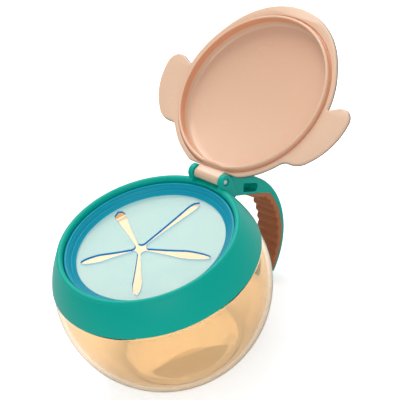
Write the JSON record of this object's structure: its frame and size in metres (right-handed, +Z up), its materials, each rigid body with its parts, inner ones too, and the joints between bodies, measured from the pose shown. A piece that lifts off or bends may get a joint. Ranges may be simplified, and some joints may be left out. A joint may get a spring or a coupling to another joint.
{
  "type": "toddler snack container",
  "caption": "Ball-shaped clear bowl with a screw-on collar and ribbed handle, a soft slit insert for small hands and a pin-hinged flip lid, shown open.",
  "frame": {"origin": "centre of the flat underside that the bowl stands on", "axes": "+Z up, +Y towards the hinge and the handle, -Y towards the lid's thumb tab when shut, +X to the right seen from the front"},
  "size_m": [0.112, 0.1746, 0.1117],
  "materials": {
    "bowl_clear": "clear tinted, glossy",
    "collar_teal": "satin gloss",
    "grip_brown": "matte, soft",
    "pin_steel": "drawn",
    "insert_blue": "soft, slightly see-through",
    "flap_aqua": "soft, milky see-through",
    "lid_cream": "glossy",
    "skin_brown": "satin"
  },
  "bodies": {
    "bowl": {"bowl": "bowl_clear"},
    "insert": {"flap_ring": "insert_blue"},
    "collar": {"collar": "collar_teal", "handle_grip": "grip_brown", "hinge_pin": "pin_steel"},
    "lid": {"lid": "lid_cream", "lid_skin": "skin_brown"},
    "flap_1": {"flap_1": "flap_aqua"},
    "flap_2": {"flap_2": "flap_aqua"},
    "flap_3": {"flap_3": "flap_aqua"},
    "flap_4": {"flap_4": "flap_aqua"},
    "flap_5": {"flap_5": "flap_aqua"}
  },
  "joints": [
    {"name": "top_lift", "type": "slide", "parent": "bowl", "child": "insert", "axis": [0, 0, 1], "range_m": [0, 0.006]},
    {"name": "top_turn", "type": "hinge", "parent": "insert", "child": "collar", "pos_m": [0, 0, 0.06535], "axis": [0, 0, 1], "range_deg": [0, 120]},
    {"name": "lid_hinge", "type": "hinge", "parent": "collar", "child": "lid", "pos_m": [0, 0.0438, 0.07165], "axis": [1, 0, 0], "range_deg": [0, 154]},
    {"name": "flap_1_bend", "type": "hinge", "parent": "insert", "child": "flap_1", "pos_m": [0.01578, 0.02022, 0.06385], "axis": [0.7583, -0.652, 0], "range_deg": [-20, 60], "stiffness_Nm_per_rad": 0.02},
    {"name": "flap_2_bend", "type": "hinge", "parent": "insert", "child": "flap_2", "pos_m": [-0.01545, 0.02207, 0.06385], "axis": [0.8192, 0.5736, 0], "range_deg": [-20, 60], "stiffness_Nm_per_rad": 0.02},
    {"name": "flap_3_bend", "type": "hinge", "parent": "insert", "child": "flap_3", "pos_m": [-0.02738, -0.00621, 0.06385], "axis": [-0.2344, 0.9721, 0], "range_deg": [-20, 60], "stiffness_Nm_per_rad": 0.02},
    {"name": "flap_4_bend", "type": "hinge", "parent": "insert", "child": "flap_4", "pos_m": [-0.00352, -0.02513, 0.06385], "axis": [-0.9956, 0.0942, 0], "range_deg": [-20, 60], "stiffness_Nm_per_rad": 0.02},
    {"name": "flap_5_bend", "type": "hinge", "parent": "insert", "child": "flap_5", "pos_m": [0.0236, -0.00992, 0.06385], "axis": [-0.3967, -0.9179, 0], "range_deg": [-20, 60], "stiffness_Nm_per_rad": 0.02}
  ],
  "couplings": [
    {"joint": "top_lift", "follows": "top_turn", "m_per_rad": 0.002864}
  ]
}
